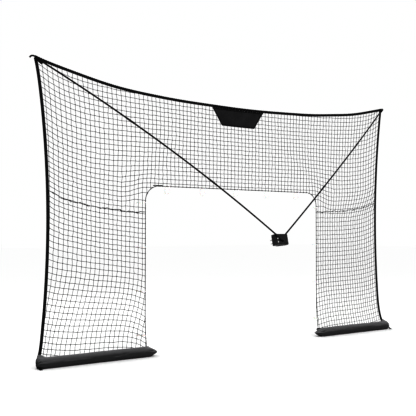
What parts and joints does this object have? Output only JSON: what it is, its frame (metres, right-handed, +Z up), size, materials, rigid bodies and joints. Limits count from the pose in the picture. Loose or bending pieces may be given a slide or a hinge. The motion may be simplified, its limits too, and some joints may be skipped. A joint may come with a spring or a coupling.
{
  "type": "hockey goal backstop net",
  "caption": "Wide black mesh backstop net with a goal-sized opening, floor sleeves, and two bowed poles from a bracket that clamps on the goal's rear bar.",
  "frame": {"origin": "on the floor, in the net's plane, at the middle of the goal opening", "axes": "+X along the net to the right seen from behind the goal, +Y towards the player, +Z up"},
  "size_m": [3.728, 0.5985, 2.136],
  "materials": {
    "net_twine": "matte",
    "edge_webbing": "matte",
    "patch_fabric": "matte",
    "sleeve_fabric": "matte",
    "sand": "matte",
    "pole_fibreglass": "satin",
    "ferrule_metal": "satin",
    "tip_rubber": "matte",
    "hub_plastic": "satin",
    "liner_rubber": "matte",
    "zinc_steel": "satin",
    "black_steel": "satin",
    "tie_nylon": "satin"
  },
  "bodies": {
    "net_and_hub": {"upper_net": "net_twine", "left_lower_net": "net_twine", "right_lower_net": "net_twine", "left_seam_lacing": "net_twine", "right_seam_lacing": "net_twine", "opening_cord": "net_twine", "top_border": "edge_webbing", "left_border": "edge_webbing", "right_border": "edge_webbing", "left_corner_pocket": "edge_webbing", "right_corner_pocket": "edge_webbing", "left_corner_tail": "edge_webbing", "top_patch": "patch_fabric", "left_sleeve_cover": "sleeve_fabric", "right_sleeve_cover": "sleeve_fabric", "left_sleeve_flap": "sleeve_fabric", "right_sleeve_flap": "sleeve_fabric", "left_sleeve_tab": "edge_webbing", "right_sleeve_tab": "edge_webbing", "left_sand_bag": "sand", "right_sand_bag": "sand", "hub_body": "hub_plastic", "hub_cover": "hub_plastic", "hub_liner": "liner_rubber", "hinge_pin": "black_steel", "clamp_bolts": "zinc_steel", "cover_screws": "black_steel", "left_post_ties": "tie_nylon", "right_post_ties": "tie_nylon", "crossbar_ties": "tie_nylon"},
    "left_pole": {"left_pole_lower": "pole_fibreglass", "left_pole_middle": "pole_fibreglass", "left_pole_upper": "pole_fibreglass", "left_pole_ferrules": "ferrule_metal", "left_pole_tip": "tip_rubber"},
    "right_pole": {"right_pole_lower": "pole_fibreglass", "right_pole_middle": "pole_fibreglass", "right_pole_upper": "pole_fibreglass", "right_pole_ferrules": "ferrule_metal", "right_pole_tip": "tip_rubber"},
    "clamp_jaw": {"hub_jaw": "hub_plastic", "jaw_liner": "liner_rubber"},
    "nut_washers": {"clamp_washers": "zinc_steel"},
    "wing_nut_upper": {"upper_wing_nut": "zinc_steel"},
    "wing_nut_lower": {"lower_wing_nut": "zinc_steel"},
    "lock_screw_left": {"left_lock_screw": "black_steel"},
    "lock_screw_right": {"right_lock_screw": "black_steel"}
  },
  "joints": [
    {"name": "left_pole_slide", "type": "slide", "parent": "net_and_hub", "child": "left_pole", "axis": [0.7986, -0.1303, -0.5875], "range_m": [0, 0.05]},
    {"name": "right_pole_slide", "type": "slide", "parent": "net_and_hub", "child": "right_pole", "axis": [-0.7986, -0.1303, -0.5875], "range_m": [0, 0.05]},
    {"name": "jaw_hinge", "type": "hinge", "parent": "net_and_hub", "child": "clamp_jaw", "pos_m": [0.061, -0.4808, 0.8628], "axis": [0, -0.2164, -0.9763], "range_deg": [0, 10]},
    {"name": "nut_travel", "type": "slide", "parent": "net_and_hub", "child": "nut_washers", "axis": [0, 0.9763, -0.2164], "range_m": [0, 0.0225]},
    {"name": "upper_wing_nut_turn", "type": "hinge", "parent": "nut_washers", "child": "wing_nut_upper", "pos_m": [-0.042, -0.46601, 0.86669], "axis": [0, 0.9763, -0.2164], "continuous": true},
    {"name": "lower_wing_nut_turn", "type": "hinge", "parent": "nut_washers", "child": "wing_nut_lower", "pos_m": [-0.042, -0.47185, 0.84033], "axis": [0, 0.9763, -0.2164], "continuous": true},
    {"name": "left_lock_screw_turn", "type": "hinge", "parent": "net_and_hub", "child": "lock_screw_left", "pos_m": [-0.03004, -0.51857, 0.89109], "axis": [0, -0.9763, 0.2164], "continuous": true},
    {"name": "right_lock_screw_turn", "type": "hinge", "parent": "net_and_hub", "child": "lock_screw_right", "pos_m": [0.03004, -0.50442, 0.88795], "axis": [0, 0.2164, 0.9763], "continuous": true}
  ],
  "couplings": [
    {"joint": "nut_travel", "follows": "jaw_hinge", "m_per_rad": 0.125}
  ]
}
